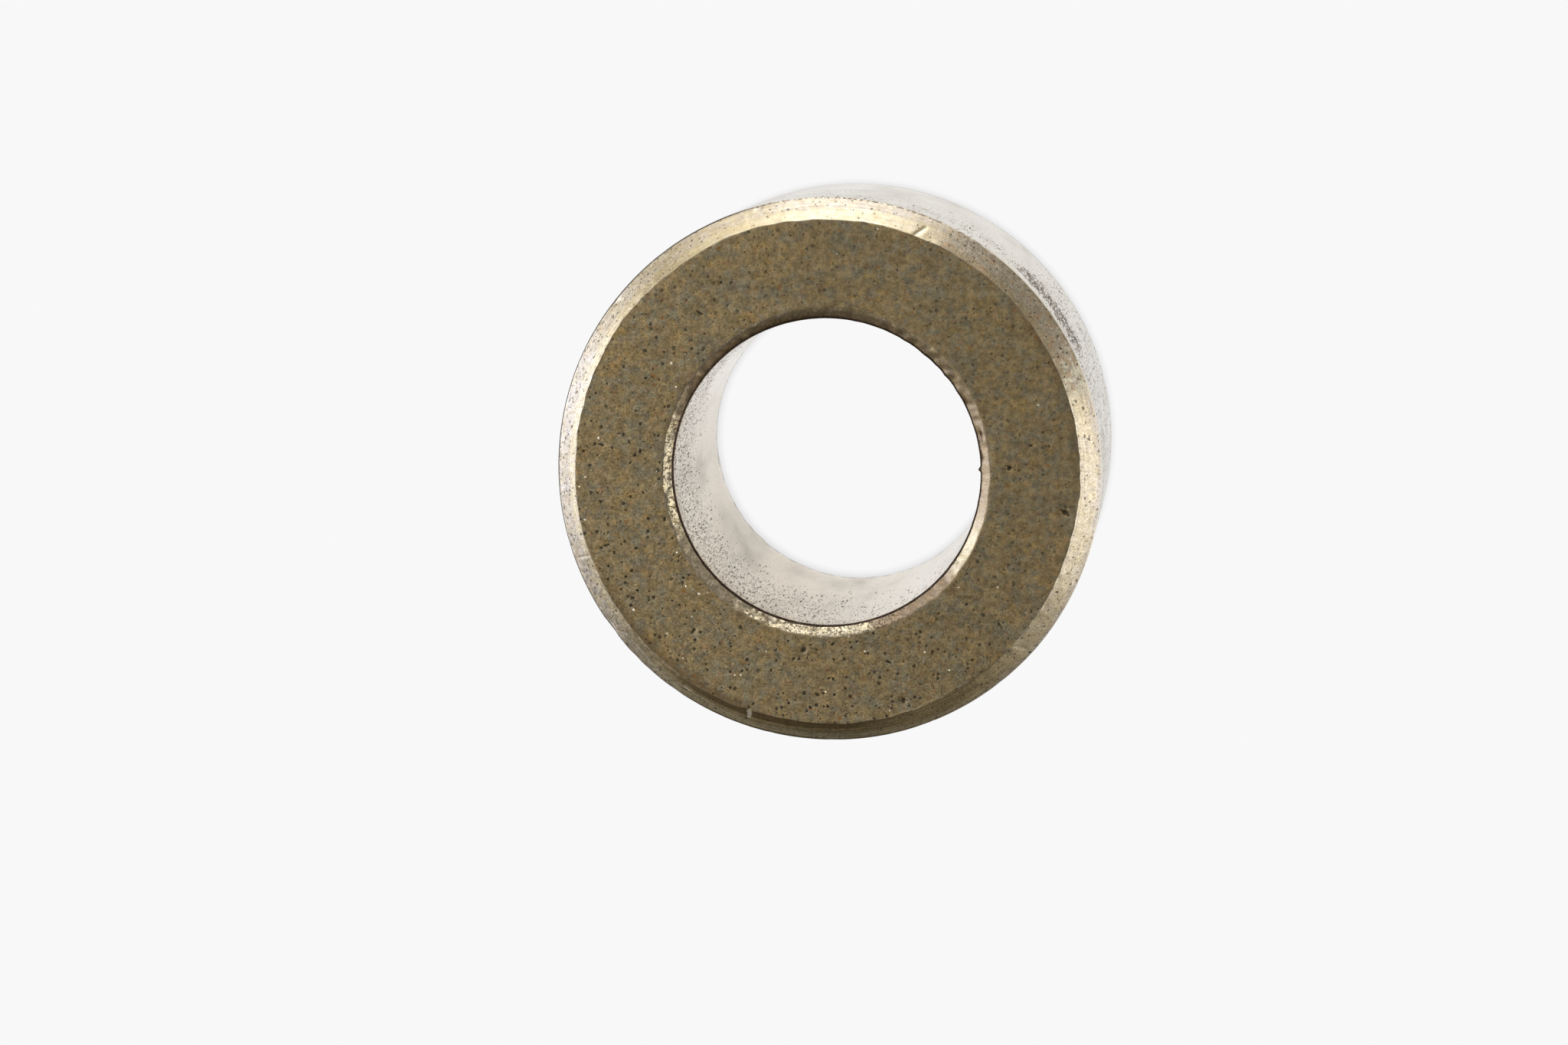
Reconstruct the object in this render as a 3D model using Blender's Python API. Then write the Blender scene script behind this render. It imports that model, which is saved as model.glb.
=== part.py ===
"""Plain sleeve bushing, pressed and sintered from bronze powder.

One turned ring stands on its lower end face, with its axis on +Z and its origin at the centre of
that face. Both ends are alike: each has a wide chamfer round the outside, which leads the bushing
into its housing, and a narrow one round the bore, which leads the shaft in. Units are metres.
"""

import math

import bmesh
import bpy

INCH = 0.0254

OUTER_DIAMETER = 1.0 * INCH
BORE_DIAMETER = 9 / 16 * INCH
LENGTH = 5 / 8 * INCH

# The outer chamfer is cut at 45 degrees. The bore chamfer is flatter: wider than it is deep.
OUTER_CHAMFER = 0.00095
BORE_CHAMFER_WIDTH = 0.00049
BORE_CHAMFER_DEPTH = 0.00032

SEGMENTS = 192
SHARP_ANGLE = math.radians(20)

BRONZE_COLOUR = (0.34, 0.25, 0.135, 1.0)
BRONZE_ROUGHNESS = 0.5


def clear_scene():
    for obj in list(bpy.data.objects):
        bpy.data.objects.remove(obj, do_unlink=True)


def sintered_bronze():
    material = bpy.data.materials.new("sintered_bronze")
    material.use_nodes = True
    shader = material.node_tree.nodes["Principled BSDF"]
    shader.inputs["Base Color"].default_value = BRONZE_COLOUR
    shader.inputs["Metallic"].default_value = 1.0
    shader.inputs["Roughness"].default_value = BRONZE_ROUGHNESS
    return material


def sleeve_profile():
    """The (radius, height) corners of half the sleeve's section, once round, starting at the lower face."""
    outer = OUTER_DIAMETER / 2
    bore = BORE_DIAMETER / 2
    half = [
        (bore, BORE_CHAMFER_DEPTH),
        (bore + BORE_CHAMFER_WIDTH, 0.0),
        (outer - OUTER_CHAMFER, 0.0),
        (outer, OUTER_CHAMFER),
    ]
    other_half = [(radius, LENGTH - height) for radius, height in reversed(half)]
    return half + other_half


def turned_ring(name, profile, segments):
    """A closed ring, swept from a closed profile that runs anticlockwise in the (radius, height) plane."""
    bm = bmesh.new()
    rows = []
    for step in range(segments):
        angle = 2 * math.pi * step / segments
        rows.append([bm.verts.new((r * math.cos(angle), r * math.sin(angle), z)) for r, z in profile])
    for step in range(segments):
        here = rows[step]
        ahead = rows[(step + 1) % segments]
        for corner in range(len(profile)):
            after = (corner + 1) % len(profile)
            bm.faces.new((here[corner], ahead[corner], ahead[after], here[after]))
    mesh = bpy.data.meshes.new(name)
    bm.to_mesh(mesh)
    bm.free()
    mesh.shade_smooth()
    mesh.set_sharp_from_angle(angle=SHARP_ANGLE)
    return mesh


def bushing_sleeve():
    mesh = turned_ring("bushing_sleeve", sleeve_profile(), SEGMENTS)
    mesh.materials.append(sintered_bronze())
    sleeve = bpy.data.objects.new("bushing_sleeve", mesh)
    bpy.context.scene.collection.objects.link(sleeve)
    return sleeve


clear_scene()
bushing_sleeve()
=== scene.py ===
"""Looks of the sintered bronze sleeve bushing: one finely worked ring, on a light table."""

import math

import bpy
import numpy as np
from mathutils import Matrix, Vector


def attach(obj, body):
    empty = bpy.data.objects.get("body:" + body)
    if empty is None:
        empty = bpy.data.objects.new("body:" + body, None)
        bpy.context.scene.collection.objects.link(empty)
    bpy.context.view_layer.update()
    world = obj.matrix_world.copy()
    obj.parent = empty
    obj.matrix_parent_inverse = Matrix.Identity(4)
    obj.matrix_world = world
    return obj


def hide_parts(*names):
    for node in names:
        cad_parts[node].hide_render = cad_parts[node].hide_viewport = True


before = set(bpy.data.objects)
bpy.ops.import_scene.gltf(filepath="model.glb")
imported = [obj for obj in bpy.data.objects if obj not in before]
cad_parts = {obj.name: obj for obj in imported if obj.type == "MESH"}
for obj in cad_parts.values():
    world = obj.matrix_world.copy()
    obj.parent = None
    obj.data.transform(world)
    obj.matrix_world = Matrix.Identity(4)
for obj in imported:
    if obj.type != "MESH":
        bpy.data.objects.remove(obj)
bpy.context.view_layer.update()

MM = 0.001
SEED = 841

# ---- The camera ----

# Angles in the picture are counted anticlockwise from its right-hand side.
SENSOR_WIDTH = 36
FOCAL_LENGTH = 87.9
# The far end of the bushing leans away from the centre of the picture by LEAN, towards LEAN_TOWARDS.
LEAN = math.radians(10.163)
LEAN_TOWARDS = math.radians(48.735)
# The near end face's centre, as the camera sees it: to its right, above its axis and in front of it.
FACE_OFFSET = (1.92 * MM, 2.265 * MM)
FACE_DISTANCE = 176.95 * MM
# The top of the picture is the bushing's -Y side, so picture angles turn by this much to give angles about Z.
PICTURE_TURN = math.radians(180)


def about_z(picture_angle):
    """The angle about Z, in radians, of an angle in the picture in degrees."""
    return math.radians(picture_angle) + PICTURE_TURN


def polar(picture_angle, distance=1):
    """X and Y of a place at a picture angle and a distance from the axis."""
    return distance * math.cos(about_z(picture_angle)), distance * math.sin(about_z(picture_angle))


# Vertices of the CAD mesh closer than this to an extreme radius or height are on it.
TOLERANCE = 0.01 * MM


def corner_sizes(node):
    """Radii and heights of the CAD sleeve's corners, read from its mesh."""
    points = np.array([v.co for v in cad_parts[node].data.vertices], float)
    radius = np.hypot(points[:, 0], points[:, 1])
    height = points[:, 2]
    top = height.max()
    on_top = height > top - TOLERANCE
    widest = radius > radius.max() - TOLERANCE
    narrowest = radius < radius.min() + TOLERANCE
    return {
        "length": top,
        "outer": radius.max(),
        "bore": radius.min(),
        "face_outer": radius[on_top].max(),
        "face_inner": radius[on_top].min(),
        "outer_chamfer_depth": top - height[widest].max(),
        "bore_chamfer_depth": top - height[narrowest].max(),
    }


SLEEVE = corner_sizes("bushing_sleeve")
IN_MM = {name: size / MM for name, size in SLEEVE.items()}


def make_camera():
    """Looks down on the upper end face, tilted so that the far end leans as LEAN says."""
    towards_camera = LEAN_TOWARDS + PICTURE_TURN
    level = Vector((math.cos(towards_camera), math.sin(towards_camera), 0))
    down = Vector((0, 0, -1))
    forward = math.cos(LEAN) * down - math.sin(LEAN) * level
    lean = math.sin(LEAN) * down + math.cos(LEAN) * level
    across = (-forward).cross(lean)
    right = math.cos(LEAN_TOWARDS) * lean - math.sin(LEAN_TOWARDS) * across
    up = math.sin(LEAN_TOWARDS) * lean + math.cos(LEAN_TOWARDS) * across
    data = bpy.data.cameras.new("photo_camera")
    data.sensor_width = SENSOR_WIDTH
    data.lens = FOCAL_LENGTH
    data.clip_start = 1 * MM
    data.clip_end = 100
    camera = bpy.data.objects.new("photo_camera", data)
    bpy.context.scene.collection.objects.link(camera)
    face_centre = Vector((0, 0, SLEEVE["length"]))
    place = face_centre - FACE_DISTANCE * forward - FACE_OFFSET[0] * right - FACE_OFFSET[1] * up
    turn = Matrix((right, up, -forward)).transposed()
    camera.matrix_world = Matrix.Translation(place) @ turn.to_4x4()
    bpy.context.scene.camera = camera


# ---- Node helper ----
class Nodes:
    """Short names for shader nodes. An input may be a number, a colour or another node's output."""

    def __init__(self, tree):
        self.tree = tree
        self.tree.nodes.clear()

    def add(self, kind, inputs=None, **settings):
        node = self.tree.nodes.new("ShaderNode" + kind)
        for name, value in settings.items():
            setattr(node, name, value)
        for key, value in (inputs or {}).items():
            self.feed(node.inputs[key], value)
        return node

    def feed(self, socket, value):
        if isinstance(value, bpy.types.NodeSocket):
            self.tree.links.new(value, socket)
        elif isinstance(value, (tuple, list)) and socket.type == "RGBA" and len(value) == 3:
            socket.default_value = (*value, 1)
        else:
            socket.default_value = value

    def math(self, operation, a, b=0):
        return self.add("Math", {0: a, 1: b}, operation=operation).outputs[0]

    def times(self, a, b):
        return self.math("MULTIPLY", a, b)

    def plus(self, a, b):
        return self.math("ADD", a, b)

    def minus(self, a, b):
        return self.math("SUBTRACT", a, b)

    def most(self, a, b):
        return self.math("MAXIMUM", a, b)

    def step(self, value, low, high, start=0, end=1):
        """A smooth step: start below low, end above high."""
        inputs = {"Value": value, "From Min": low, "From Max": high, "To Min": start, "To Max": end}
        return self.add("MapRange", inputs, interpolation_type="SMOOTHSTEP").outputs[0]

    def colour(self, factor, a, b, blend="MIX"):
        node = self.add("Mix", {0: factor, 6: a, 7: b}, data_type="RGBA", blend_type=blend)
        return node.outputs[2]

    def number(self, factor, a, b):
        return self.add("Mix", {0: factor, 2: a, 3: b}, data_type="FLOAT").outputs[0]

    def noise(self, where, per_mm, detail=2, roughness=0.5):
        inputs = {"Vector": where, "Scale": per_mm, "Detail": detail, "Roughness": roughness}
        return self.add("TexNoise", inputs).outputs[0]

    def vector(self, operation, a, b=(0, 0, 0)):
        second = 3 if operation == "SCALE" else 1
        return self.add("VectorMath", {0: a, second: b}, operation=operation).outputs[0]

    def hypot(self, a, b):
        return self.math("SQRT", self.plus(self.times(a, a), self.times(b, b)))

    def grey(self, level):
        return self.add("CombineColor", {0: level, 1: level, 2: level}).outputs[0]

    def toned(self, colour, tone):
        """The colour made lighter or darker by a number."""
        return self.tinted(colour, self.grey(tone))

    def tinted(self, colour, tint, share=1):
        return self.colour(share, colour, tint, "MULTIPLY")

    def unsteady(self, pattern, amount):
        """A pattern between 0 and 1 turned into a wobble about 0."""
        return self.times(self.minus(pattern, 0.5), amount)

    def any_way(self, colour, amount):
        """A random colour turned into a vector that points any way."""
        return self.vector("SCALE", self.vector("SUBTRACT", colour, (0.5, 0.5, 0.5)), amount)

    def pushed(self, where, pattern, per_mm, amount):
        """Coordinates pushed about by up to the amount in mm, by noise drawn in the coordinates pattern."""
        push = self.add("TexNoise", {"Vector": pattern, "Scale": per_mm, "Detail": 2}).outputs["Color"]
        return self.vector("ADD", where, self.any_way(push, 2 * amount))

    def spots(self, where, per_mm, smallest, largest, share, faintest=1):
        """Round spots, one to a cell in a share of a pattern's cells. Returns the spots' mask and each cell's
        random colour. Radii are in mm, and each spot is between faintest and 1 strong."""
        cells = self.add("TexVoronoi", {"Vector": where, "Scale": per_mm}, feature="F1")
        random = self.add("SeparateColor", {0: cells.outputs["Color"]}).outputs
        radius = self.number(random[0], smallest * per_mm, largest * per_mm)
        nearness = self.math("DIVIDE", cells.outputs["Distance"], radius)
        inside = self.step(nearness, 0.7, 1.15, 1, 0)
        shown = self.math("LESS_THAN", random[1], share)
        strength = self.times(shown, self.number(random[2], faintest, 1))
        return self.times(inside, strength), cells.outputs["Color"]


# ---- Light table and studio ----
TABLE_WHITE = 0.939
# Brightness round the horizon, as (picture angle in degrees, brightness): soft windows at the right, the top
# and the left of the picture, and an unlit room towards its bottom.
RING = [
    (0, 1.25), (14, 1), (21, 0.36), (34, 0.305), (50, 0.325), (64, 0.72), (80, 1.48), (98, 1.8),
    (112, 1.33), (124, 1.06), (139, 0.6), (152, 1.2), (170, 1.62), (192, 1.22), (210, 0.61), (225, 0.25),
    (246, 0.155), (270, 0.115), (290, 0.155), (316, 0.4), (334, 1.04), (346, 1.21), (360, 1.25),
]
# The windows at the left of the picture, towards COOL_SIDE, are cooler than the others.
COOL_DAYLIGHT = (1, 1.03, 1.12)
WARM_DAYLIGHT = (1, 0.99, 0.94)
COOL_SIDE = 168
ROOM_LIGHT = (1, 0.9, 0.64)
FULL_DAYLIGHT = 1.3
CEILING = 0.228
# The ceiling is lighter towards this picture angle, by this share for each unit of slope.
CEILING_LIGHT = 165
CEILING_GAIN = 3
CEILING_LEAST = 0.35
# Slopes, from -1 for down to 1 for up, between which the table fades into the ring and the ring into
# the ceiling.
TABLE_FADE = (-0.88, -0.5)
CEILING_FADE = (0.45, 0.8)


def make_world():
    world = bpy.data.worlds.new("studio")
    bpy.context.scene.world = world
    world.use_nodes = True
    g = Nodes(world.node_tree)
    direction = g.add("TexCoord").outputs["Generated"]
    x, y, z = g.add("SeparateXYZ", {0: direction}).outputs
    turned = g.minus(g.math("ARCTAN2", y, x), PICTURE_TURN)
    ring = g.add("ValToRGB", {0: g.math("FRACT", g.math("DIVIDE", turned, 2 * math.pi))})
    elements = ring.color_ramp.elements
    peak = max(level for _, level in RING)
    for _ in RING[2:]:
        elements.new(0.5)
    for element, (angle, level) in zip(elements, RING):
        side = max(0, math.cos(math.radians(angle - COOL_SIDE))) ** 3
        daylight = [warm + side * (cool - warm) for warm, cool in zip(WARM_DAYLIGHT, COOL_DAYLIGHT)]
        share = min(1, level / FULL_DAYLIGHT)
        tint = [dim + share * (day - dim) for dim, day in zip(ROOM_LIGHT, daylight)]
        element.position = angle / 360
        element.color = (*(level * t / peak for t in tint), 1)
    ring.color_ramp.interpolation = "EASE"
    ring_light = g.vector("SCALE", ring.outputs[0], peak)
    cos, sin = polar(CEILING_LIGHT)
    slope = g.plus(g.times(x, cos), g.times(y, sin))
    ceiling = g.most(g.plus(g.times(slope, CEILING_GAIN), 1), CEILING_LEAST)
    ceiling_light = g.grey(g.times(ceiling, CEILING))
    upper = g.colour(g.step(z, *CEILING_FADE), ring_light, ceiling_light)
    table = (TABLE_WHITE, TABLE_WHITE, TABLE_WHITE)
    studio = g.colour(g.step(z, *TABLE_FADE), table, upper)
    seen = g.add("LightPath").outputs["Is Camera Ray"]
    background = g.add("Background", {"Color": g.colour(seen, studio, table), "Strength": 1})
    g.add("OutputWorld", {"Surface": background.outputs[0]})


FLOOR_RADIUS = 3
FLOOR_SIDES = 96
# The table is darker by this share under the sleeve's edges. The shade fades in from the bore, and out from
# the wall, between two distances in mm.
CONTACT_SHADE = 0.32
BORE_SHADE = (-0.4, 0.42)
WALL_SHADE = (-0.45, 0.3)


def make_floor(height):
    """A pale light table, as a disc that the camera sees. In reflections the studio's world stands for it."""
    angles = [2 * math.pi * side / FLOOR_SIDES for side in range(FLOOR_SIDES)]
    ring = [(FLOOR_RADIUS * math.cos(angle), FLOOR_RADIUS * math.sin(angle), height) for angle in angles]
    mesh = bpy.data.meshes.new("light_table")
    mesh.from_pydata(ring, [], [tuple(range(FLOOR_SIDES))])
    floor = bpy.data.objects.new("light_table", mesh)
    bpy.context.scene.collection.objects.link(floor)
    floor.visible_glossy = False
    floor.visible_diffuse = False
    material = bpy.data.materials.new("light_table")
    material.use_nodes = True
    g = Nodes(material.node_tree)
    x, y, _ = g.add("SeparateXYZ", {0: g.add("TexCoord").outputs["Object"]}).outputs
    radius = g.math("DIVIDE", g.hypot(x, y), MM)
    bore, wall = IN_MM["bore"], IN_MM["outer"]
    inside = g.step(radius, bore + BORE_SHADE[0], bore + BORE_SHADE[1])
    outside = g.step(radius, wall + WALL_SHADE[0], wall + WALL_SHADE[1], 1, 0)
    shade = g.times(g.times(inside, outside), CONTACT_SHADE)
    white = g.times(g.minus(1, shade), TABLE_WHITE)
    glow = g.add("Emission", {"Strength": white})
    g.add("OutputMaterial", {"Surface": glow.outputs[0]})
    mesh.materials.append(material)


# ---- The section of the ring ----

# The surfaces of the ring, which are also its material slots.
BORE, BORE_EDGE, BORE_CHAMFER, FACE, OUTER_CHAMFER, OUTER_EDGE, OUTSIDE, PORE = range(8)
# The section's corners, counted once round it from the lower end of the bore.
(BORE_CORNER, FACE_INNER, FACE_OUTER, _, OUTER_CORNER,
 UPPER_OUTER_CORNER, _, UPPER_FACE_OUTER, _, UPPER_BORE_CORNER) = range(10)

BORE_EDGE_ROUNDING = 0.2 * MM
FACE_INNER_ROUNDING = 0.22 * MM
FACE_OUTER_ROUNDING = 0.07 * MM
BREAK_ROUNDING = 0.2 * MM
OUTER_EDGE_ROUNDING = 0.18 * MM
# The outer chamfer is two facets, and the break between them stands this proud. It lies halfway out on the
# average and runs a little off centre, further out towards the picture angle BREAK_OUT_SIDE.
BREAK_SHARE = 0.5
BREAK_PROUD = 0.035 * MM
BREAK_OFF_CENTRE = 0.26
BREAK_OUT_SIDE = 350

ARC_STEPS = 3
WALL_SPACING = 1 * MM
TOP_SPACING = 0.14 * MM
CHAMFER_SPACING = 0.1 * MM
BOTTOM_SPACING = 0.4 * MM


def half_section():
    """The upper half's corners from the bore out: radius, height, rounding, its zone and the next zone."""
    s = SLEEVE
    top = s["length"]
    break_radius = s["face_outer"] + BREAK_SHARE * (s["outer"] - s["face_outer"])
    break_height = top - BREAK_SHARE * s["outer_chamfer_depth"]
    proud = BREAK_PROUD / math.sqrt(2)
    return [
        (s["bore"], top - s["bore_chamfer_depth"], BORE_EDGE_ROUNDING, BORE_EDGE, BORE_CHAMFER),
        (s["face_inner"], top, FACE_INNER_ROUNDING, BORE_CHAMFER, FACE),
        (s["face_outer"], top, FACE_OUTER_ROUNDING, OUTER_CHAMFER, OUTER_CHAMFER),
        (break_radius + proud, break_height + proud, BREAK_ROUNDING, OUTER_CHAMFER, OUTER_CHAMFER),
        (s["outer"], top - s["outer_chamfer_depth"], OUTER_EDGE_ROUNDING, OUTER_EDGE, OUTSIDE),
    ]


def spacing_of(zone, height):
    if zone in (BORE, OUTSIDE):
        return WALL_SPACING
    if zone == FACE:
        return TOP_SPACING if height > SLEEVE["length"] / 2 else BOTTOM_SPACING
    return CHAMFER_SPACING if height > SLEEVE["length"] / 2 else 2 * CHAMFER_SPACING


def whole_section():
    """Corners once round the section, anticlockwise as (radius, height), from the bore's lower end."""
    half = half_section()
    lower = [(radius, SLEEVE["length"] - height, *rest) for radius, height, *rest in half]
    inwards = [BORE] + [zone for *_, zone in half[:-1]]
    upper = [(*corner[:4], zone) for corner, zone in zip(half, inwards)]
    return lower + upper[::-1]


def rounded(before, here, ahead, rounding):
    """Points of the arc that rounds the corner at here."""
    way_in = (here - before) / np.linalg.norm(here - before)
    way_out = (ahead - here) / np.linalg.norm(ahead - here)
    turn = math.acos(float(np.clip(way_in @ way_out, -1, 1)))
    reach = rounding * math.tan(turn / 2)
    centre = here - reach * way_in + rounding * np.array((-way_in[1], way_in[0]))
    start = here - reach * way_in - centre
    arc = []
    for step in range(ARC_STEPS + 1):
        cos, sin = math.cos(turn * step / ARC_STEPS), math.sin(turn * step / ARC_STEPS)
        arc.append(centre + (start[0] * cos - start[1] * sin, start[0] * sin + start[1] * cos))
    return arc


def section_points():
    """The rounded section as an array of (radius, height), the zone of each step to the next point, and the
    middle row of each corner."""
    corners = whole_section()
    places = [np.array(corner[:2]) for corner in corners]
    arcs = []
    for index, here in enumerate(places):
        arcs.append(rounded(places[index - 1], here, places[(index + 1) % len(places)], corners[index][2]))
    points, zones, middles = [], [], []
    for index, arc in enumerate(arcs):
        zone, after = corners[index][3:]
        middles.append(len(points) + len(arc) // 2)
        points += arc
        zones += [zone] * (len(arc) - 1)
        start, end = arc[-1], arcs[(index + 1) % len(arcs)][0]
        length = np.linalg.norm(end - start)
        steps = max(1, round(length / spacing_of(after, (start[1] + end[1]) / 2)))
        for step in range(1, steps):
            points.append(start + (end - start) * step / steps)
        zones += [after] * steps
    return np.array(points), np.array(zones), middles


# Handling marks on the upper outer chamfer: picture angle, mm outwards from the face's outer edge, turn from
# the circumferential direction in degrees, length mm, width mm, depth mm.
MARKS = [
    (68.5, 0.3, 124, 0.8, 0.1, 0.05),
    (199.5, 0.65, 90, 1, 0.045, 0.025),
    (237, 0.6, 15, 0.4, 0.06, 0.035),
    (252, 0.22, 82, 0.75, 0.15, 0.03),
    (216, 1.25, 10, 0.9, 0.22, 0.06),
    (141, 1.2, 20, 0.5, 0.12, 0.035),
    (104.5, 1.2, 8, 0.35, 0.1, 0.06),
    (318, 0.35, 60, 0.6, 0.08, 0.03),
]
# Open pores of the upper face that are larger than the rest: picture angle, distance from the axis mm,
# length mm, width mm, turn in degrees.
LARGE_PORES = [
    (128, 9.45, 0.34, 0.12, -30),
    (118.5, 10.05, 0.14, 0.12, 0),
    (173, 10.55, 0.34, 0.09, -15),
    (2, 8.5, 0.2, 0.2, 0),
    (8, 9.55, 0.24, 0.1, 10),
    (351, 11.2, 0.46, 0.2, -40),
    (288.5, 11.2, 0.22, 0.22, 0),
    (319, 10.65, 0.2, 0.13, -50),
    (317, 8.9, 0.14, 0.11, 30),
    (288, 9.25, 0.32, 0.12, -20),
    (262.5, 8.35, 0.24, 0.2, 70),
    (230, 9.7, 0.28, 0.14, 50),
    (267.5, 10.4, 0.24, 0.16, -20),
    (198.5, 10.85, 0.3, 0.09, 15),
    (213, 10.85, 0.18, 0.14, 0),
]
COLUMNS = 560
MARK_COLUMNS = 14
MARK_REACH = math.radians(1.6)
CLOSEST_COLUMNS = math.radians(0.12)


def column_angles():
    """Angles of the ring's columns: evenly spaced, with closer ones across each mark."""
    angles = list(2 * math.pi * np.arange(COLUMNS) / COLUMNS)
    for mark in MARKS:
        middle = about_z(mark[0])
        angles += list(middle + MARK_REACH * np.linspace(-1, 1, MARK_COLUMNS))
    angles = np.sort(np.mod(angles, 2 * math.pi))
    keep = np.diff(angles, prepend=angles[-1] - 2 * math.pi) > CLOSEST_COLUMNS
    return angles[keep]


def random_field(rng, wavelength, waves=28):
    """A smooth random field through space, of about unit size, as a function of points in metres."""
    directions = rng.normal(size=(waves, 3))
    directions /= np.linalg.norm(directions, axis=1)[:, None]
    lengths = wavelength * rng.uniform(0.7, 1.6, waves)
    phases = rng.uniform(0, 2 * math.pi, waves)
    scale = math.sqrt(2 / waves)

    def field(points):
        total = np.zeros(len(points))
        for direction, length, phase in zip(directions, lengths, phases):
            total += np.cos(points @ direction * (2 * math.pi / length) + phase)
        return total * scale

    return field


class Grid:
    """The ring's vertices, column after column, each with its own radius and height."""

    def __init__(self):
        self.section, self.zones, self.corners = section_points()
        self.columns = column_angles()
        self.rows = len(self.section)
        self.angle = np.repeat(self.columns, self.rows)
        self.radius = self.along(self.section[:, 0])
        self.height = self.along(self.section[:, 1])
        steps = np.linalg.norm(np.diff(self.section, axis=0), axis=1)
        self.travel = np.concatenate([[0], np.cumsum(steps)])
        around = np.roll(self.section, -1, axis=0) - np.roll(self.section, 1, axis=0)
        around /= np.linalg.norm(around, axis=1)[:, None]
        self.normal = np.stack([self.along(around[:, 1]), self.along(-around[:, 0])], axis=1)

    def along(self, values):
        """Values of the section's rows, repeated for every column."""
        return np.tile(values, len(self.columns))

    def points(self):
        x, y = self.radius * np.cos(self.angle), self.radius * np.sin(self.angle)
        return np.stack([x, y, self.height], axis=1)

    def push(self, amount):
        """Moves every vertex outwards from the surface by its amount."""
        self.radius = self.radius + self.normal[:, 0] * amount
        self.height = self.height + self.normal[:, 1] * amount

    def beside(self, corner, reach):
        """1 at a corner of the section, fading on both sides of it."""
        away = self.travel - self.travel[self.corners[corner]]
        return self.along(np.exp(-(away / reach) ** 2))

    def turned(self, picture_angle):
        """Each vertex's angle from the picture angle, from -pi to pi."""
        return np.mod(self.angle - about_z(picture_angle) + math.pi, 2 * math.pi) - math.pi


# How far a corner wanders round the ring, in mm: broadly in radius, broadly in height, and finely in the same
# way. The upper corners wander as far as the lower ones.
WANDER = {
    BORE_CORNER: (0, 0.02, 0.012),
    FACE_INNER: (0.035, 0, 0.015),
    FACE_OUTER: (0.02, 0, 0.012),
    OUTER_CORNER: (0, 0.02, 0.003),
}
WANDER_REACH = 0.55 * MM
BROAD_WANDER = 6 * MM
FINE_WANDER = 0.8 * MM


def wander_corners(grid, rng):
    """Lets the corners wander, as they do on a pressed and sized part. Rows near a corner follow it."""
    flat = grid.points()
    last = len(grid.corners) - 1
    for index, middle in enumerate(grid.corners):
        corner = min(index, last - index)
        if corner not in WANDER:
            continue
        radial, upright, fine = WANDER[corner]
        broad_field, fine_field = random_field(rng, BROAD_WANDER), random_field(rng, FINE_WANDER)
        level = flat * (1, 1, 0) + (0, 0, grid.section[middle, 1])
        level *= (grid.section[middle, 0] / grid.radius)[:, None] * (1, 1, 0) + (0, 0, 1)
        weight = np.clip(1 - np.abs(grid.travel - grid.travel[middle]) / WANDER_REACH, 0, 1)
        share = (radial or upright) * broad_field(level) + fine * fine_field(level)
        shift = grid.along(weight) * share * MM
        if radial:
            grid.radius = grid.radius + shift
        else:
            grid.height = grid.height + shift


def slide_breaks(grid):
    """Moves the break of each outer chamfer in and out round the ring, and the rows beside it with it."""
    share = BREAK_SHARE + BREAK_OFF_CENTRE * np.cos(grid.angle - about_z(BREAK_OUT_SIDE))
    for inner, outer in ((UPPER_FACE_OUTER, UPPER_OUTER_CORNER), (FACE_OUTER, OUTER_CORNER)):
        start, end = grid.corners[inner], grid.corners[outer]
        travel = (grid.travel - grid.travel[start]) / (grid.travel[end] - grid.travel[start])
        travel = grid.along(np.clip(travel, 0, 1))
        moved = np.where(travel < BREAK_SHARE, travel * share / BREAK_SHARE,
                         share + (travel - BREAK_SHARE) * (1 - share) / (1 - BREAK_SHARE))
        way = grid.section[end] - grid.section[start]
        grid.radius = grid.radius + (moved - travel) * way[0]
        grid.height = grid.height + (moved - travel) * way[1]


# Unevenness of each surface in mm: broad, fine.
UNEVENNESS = {
    BORE: (0.003, 0.0015), BORE_EDGE: (0.006, 0.008), BORE_CHAMFER: (0.01, 0.012), FACE: (0.003, 0.0015),
    OUTER_CHAMFER: (0.007, 0.003), OUTER_EDGE: (0.002, 0.001), OUTSIDE: (0.003, 0.0015),
}
BROAD_UNEVENNESS = 5 * MM
FINE_UNEVENNESS = 0.45 * MM


def roughen(grid, rng):
    """Makes every surface slightly uneven."""
    flat = grid.points()
    broad_field, fine_field = random_field(rng, BROAD_UNEVENNESS), random_field(rng, FINE_UNEVENNESS)
    broad = grid.along(np.array([UNEVENNESS[zone][0] for zone in grid.zones]))
    fine = grid.along(np.array([UNEVENNESS[zone][1] for zone in grid.zones]))
    grid.push((broad * broad_field(flat) + fine * fine_field(flat)) * MM)


CHIPS = 22
CHIP_WIDTH = (0.1 * MM, 0.28 * MM)
CHIP_DEPTH = (0.005 * MM, 0.018 * MM)
CHIP_REACH = 0.12 * MM


def chip_edges(grid, rng):
    """Small chips along the outer edge of both chamfers."""
    for corner in (OUTER_CORNER, UPPER_OUTER_CORNER):
        beside = grid.beside(corner, CHIP_REACH)
        for _ in range(CHIPS):
            around = grid.turned(rng.uniform(0, 360)) * SLEEVE["outer"]
            width, depth = rng.uniform(*CHIP_WIDTH), rng.uniform(*CHIP_DEPTH)
            near = np.abs(around) < 3 * width
            grid.push(np.where(near, -depth * np.exp(-(around / width) ** 2) * beside, 0))


# A mark is cut within this distance of its middle, and a large pore is this share of its width deep.
MARK_ROOM = 2 * MM
LARGE_PORE_DEPTH = 0.6


def along_and_across(a, b, turn):
    """Distances from a mark's middle as distances along and across it, where it is turned by degrees."""
    cos, sin = math.cos(math.radians(turn)), math.sin(math.radians(turn))
    return a * cos + b * sin, b * cos - a * sin


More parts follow.
